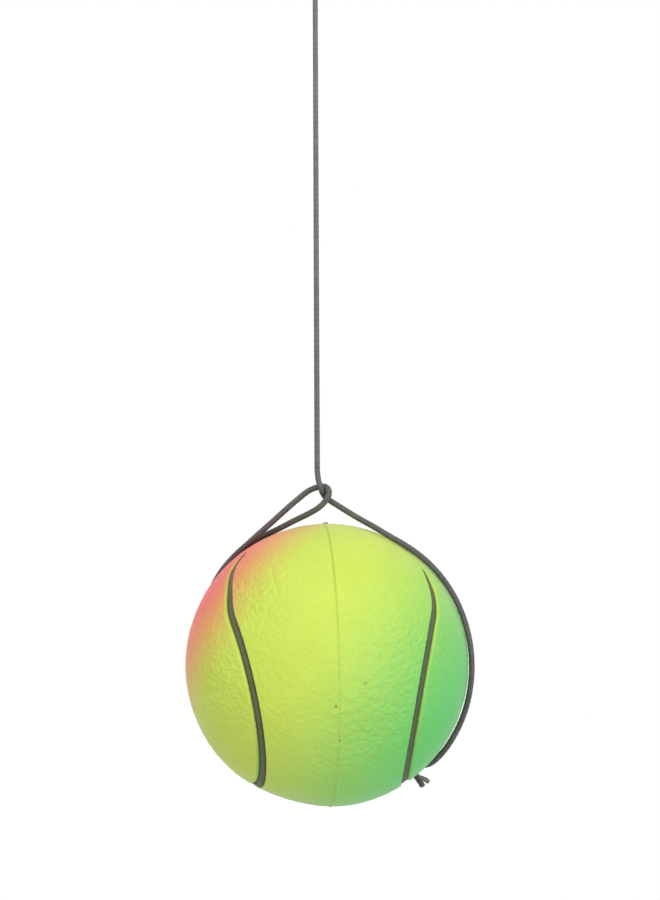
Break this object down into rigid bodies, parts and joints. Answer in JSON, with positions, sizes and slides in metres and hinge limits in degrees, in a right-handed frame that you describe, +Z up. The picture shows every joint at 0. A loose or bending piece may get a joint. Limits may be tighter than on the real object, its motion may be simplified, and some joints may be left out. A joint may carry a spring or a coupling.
{
  "type": "rubber ball on elastic string",
  "caption": "Grooved sponge-rubber ball held in a slip noose of elastic cord, hung on a straight stretch of string from a knotted finger loop.",
  "frame": {"origin": "top inside of the finger loop, where a finger or hook carries the toy", "axes": "+Z up along the hanging string, +X to the right of the picture, +Y away from the viewer"},
  "size_m": [0.0614, 0.06, 0.2176],
  "materials": {
    "ball_rubber": "matt sponge rubber, sprayed in soft bands of yellow, green and pink",
    "seam_paint": "dull dark paint in the groove",
    "cord_sleeve": "grey braided sleeve",
    "cord_core": "pale latex thread"
  },
  "bodies": {
    "finger_loop": {"finger_arc": "cord_sleeve"},
    "loop_legs": {"finger_legs": "cord_sleeve", "finger_knot": "cord_sleeve", "finger_tail": "cord_sleeve"},
    "string": {"string_sleeve": "cord_sleeve", "string_core": "cord_core"},
    "end": {"string_end": "cord_sleeve"},
    "noose": {"side_strand": "cord_sleeve", "noose_loop": "cord_sleeve", "noose_knot": "cord_sleeve", "noose_tails": "cord_sleeve"},
    "ball": {"ball": "ball_rubber", "seam_line": "seam_paint"}
  },
  "joints": [
    {"name": "swing_fore_aft", "type": "hinge", "parent": "finger_loop", "child": "loop_legs", "pos_m": [0, 0, -0.01312], "axis": [1, 0, 0], "range_deg": [-75, 75]},
    {"name": "swing_sideways", "type": "hinge", "parent": "loop_legs", "child": "string", "pos_m": [0, 0, -0.04109], "axis": [0, 1, 0], "range_deg": [-75, 75]},
    {"name": "stretch", "type": "slide", "parent": "string", "child": "end", "axis": [0, 0, -1], "range_m": [-0.018, 0.1], "stiffness_N_per_m": 24, "springref_m": -0.01876, "deforming": ["string_sleeve", "string_core"]},
    {"name": "twist", "type": "hinge", "parent": "end", "child": "noose", "pos_m": [0, 0, -0.14314], "axis": [0, 0, 1], "range_deg": [-540, 540], "stiffness_Nm_per_rad": 0.0002},
    {"name": "ball_turn", "type": "hinge", "parent": "noose", "child": "ball", "pos_m": [0.0019, 0, -0.18629], "axis": [0, 1, 0], "continuous": true}
  ]
}
